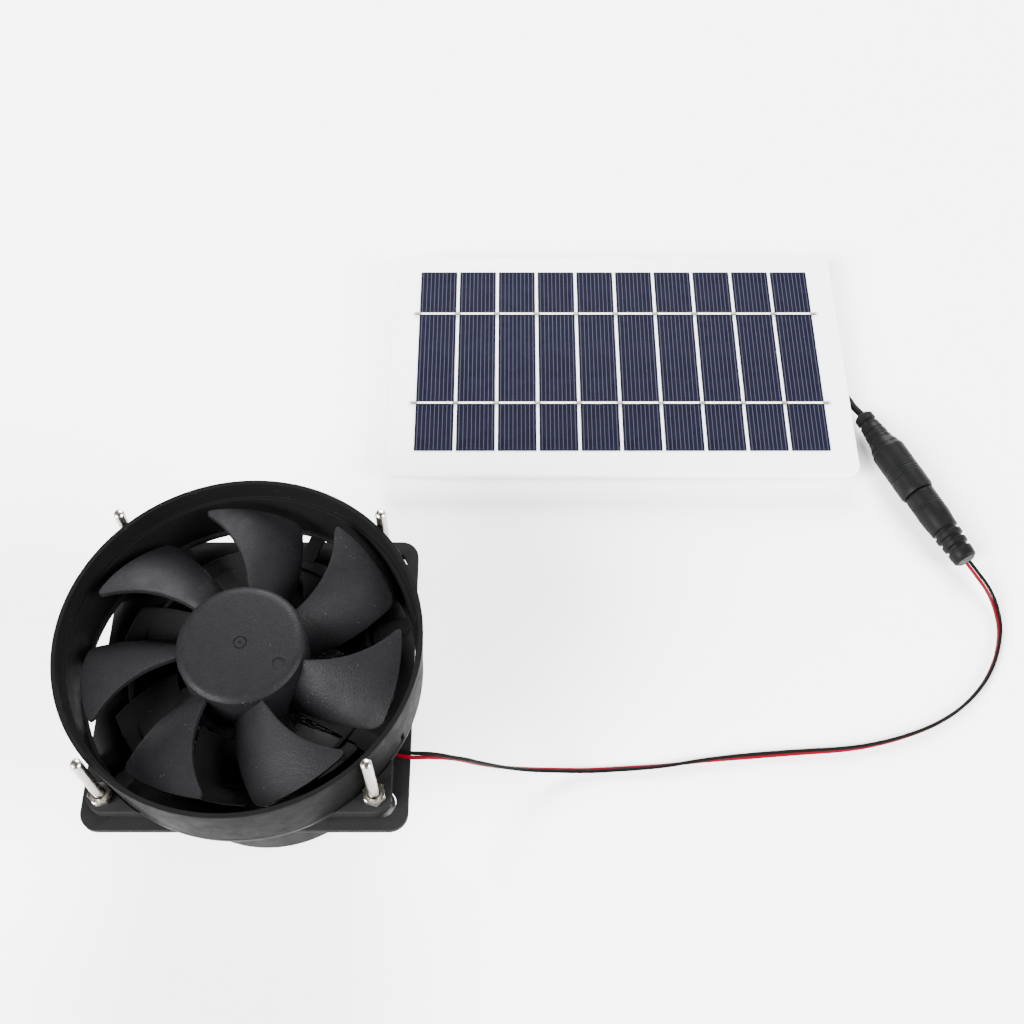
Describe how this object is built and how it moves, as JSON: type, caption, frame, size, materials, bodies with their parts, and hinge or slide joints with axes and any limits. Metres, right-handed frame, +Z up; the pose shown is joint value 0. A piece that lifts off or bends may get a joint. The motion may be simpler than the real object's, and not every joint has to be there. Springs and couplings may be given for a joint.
{
  "type": "solar attic fan",
  "caption": "Small duct fan with a round black collar on a square plate and spigot, driven by a small white-framed solar panel through a thin two-wire lead and an inline barrel connector.",
  "frame": {"origin": "middle of the footprint of fan and panel, on the surface that both stand on", "axes": "+Z up, along the fan's spin axis and out of the collar's mouth; +X to the right and +Y to the rear, where the panel lies flat with its long side along X"},
  "size_m": [0.2772, 0.234, 0.0745],
  "materials": {
    "collar_plastic": "fine moulded grain",
    "frame_plastic": "fine moulded grain",
    "plate_plastic": "satin",
    "gasket_foam": "closed-cell foam",
    "clip_rubber": "matt",
    "nickel": "bright nickel plate",
    "impeller_plastic": "fine spark-eroded grain",
    "zinc_steel": "zinc plated",
    "ferrite": "dull",
    "bright_steel": "ground",
    "brass": "turned",
    "lamination": "stacked sheets",
    "copper": "enamelled winding wire",
    "board_green": "solder mask",
    "label_foil": "plain blank foil",
    "panel_white": "white laminate board",
    "cell_blue": "polycrystalline silicon with fine silver fingers",
    "tinned_ribbon": "tinned copper",
    "clear_film": "clear laminate film",
    "box_plastic": "satin",
    "diode_black": "moulded epoxy",
    "gland_rubber": "matt",
    "connector_plastic": "soft moulded vinyl",
    "wire_red": "glossy vinyl insulation",
    "wire_black": "glossy vinyl insulation",
    "cable_black": "vinyl sheath"
  },
  "bodies": {
    "housing": {"duct_collar": "collar_plastic", "fan_frame": "frame_plastic", "lead_clip": "clip_rubber", "mounting_plate": "plate_plastic", "plate_gasket": "gasket_foam", "bolt_front_left": "nickel", "bolt_front_right": "nickel", "bolt_rear_right": "nickel", "bolt_rear_left": "nickel", "nut_front_left": "nickel", "nut_front_right": "nickel", "nut_rear_right": "nickel", "nut_rear_left": "nickel", "washer_front_left": "nickel", "washer_front_right": "nickel", "washer_rear_right": "nickel", "washer_rear_left": "nickel", "bearing_tube": "brass", "bearing_upper": "bright_steel", "bearing_lower": "bright_steel", "stator_core": "lamination", "coil_1": "copper", "coil_2": "copper", "coil_3": "copper", "coil_4": "copper", "circuit_board": "board_green", "seat_label": "label_foil", "panel_backing": "panel_white", "cell_01": "cell_blue", "cell_02": "cell_blue", "cell_03": "cell_blue", "cell_04": "cell_blue", "cell_05": "cell_blue", "cell_06": "cell_blue", "cell_07": "cell_blue", "cell_08": "cell_blue", "cell_09": "cell_blue", "cell_10": "cell_blue", "bus_ribbon_front": "tinned_ribbon", "bus_ribbon_rear": "tinned_ribbon", "cover_film": "clear_film", "junction_box": "box_plastic", "junction_lid": "box_plastic", "blocking_diode": "diode_black", "cable_gland": "gland_rubber", "jack_body": "connector_plastic", "jack_pin": "nickel", "plug_body": "connector_plastic", "plug_barrel": "nickel", "lead_red": "wire_red", "lead_black": "wire_black", "panel_cable": "cable_black"},
    "rotor": {"impeller": "impeller_plastic", "rotor_yoke": "zinc_steel", "rotor_magnet": "ferrite", "shaft": "bright_steel", "shaft_clip": "bright_steel", "preload_spring": "bright_steel"}
  },
  "joints": [
    {"name": "fan_spin", "type": "hinge", "parent": "housing", "child": "rotor", "pos_m": [-0.07035, -0.06855, 0.06], "axis": [0, 0, 1], "continuous": true}
  ]
}
